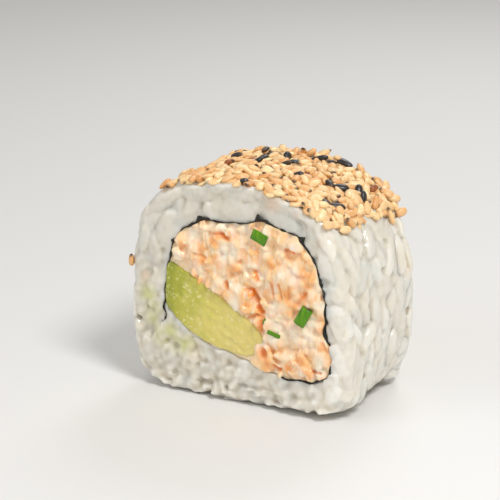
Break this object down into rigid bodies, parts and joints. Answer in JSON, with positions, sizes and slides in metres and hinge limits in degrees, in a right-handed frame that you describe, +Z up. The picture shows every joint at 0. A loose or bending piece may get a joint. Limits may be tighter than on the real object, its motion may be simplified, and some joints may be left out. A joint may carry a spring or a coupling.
{
  "type": "uramaki roll",
  "caption": "Cut piece of inside-out sushi roll: rice outside, a sheet of nori, chopped salmon and avocado inside, resting on its flattened underside.",
  "frame": {"origin": "middle of the flattened underside, on the surface that the piece rests on", "axes": "+X across the cut face to the right as seen from the shown face, +Y along the roll away from the shown face, +Z up"},
  "size_m": [0.0452, 0.026, 0.0422],
  "materials": {
    "rice": "wet, sticky cooked grains",
    "nori": "dark, slightly glossy seaweed sheet",
    "salmon": "chopped salmon in pale mayonnaise, glossy",
    "avocado": "smooth moist flesh, green at the rim",
    "sesame": "toasted seed skin",
    "black_sesame": "dark seed skin",
    "chive": "fresh cut herb"
  },
  "bodies": {
    "root": {"rice": "rice", "nori": "nori", "salmon": "salmon", "avocado": "avocado"}
  },
  "joints": []
}
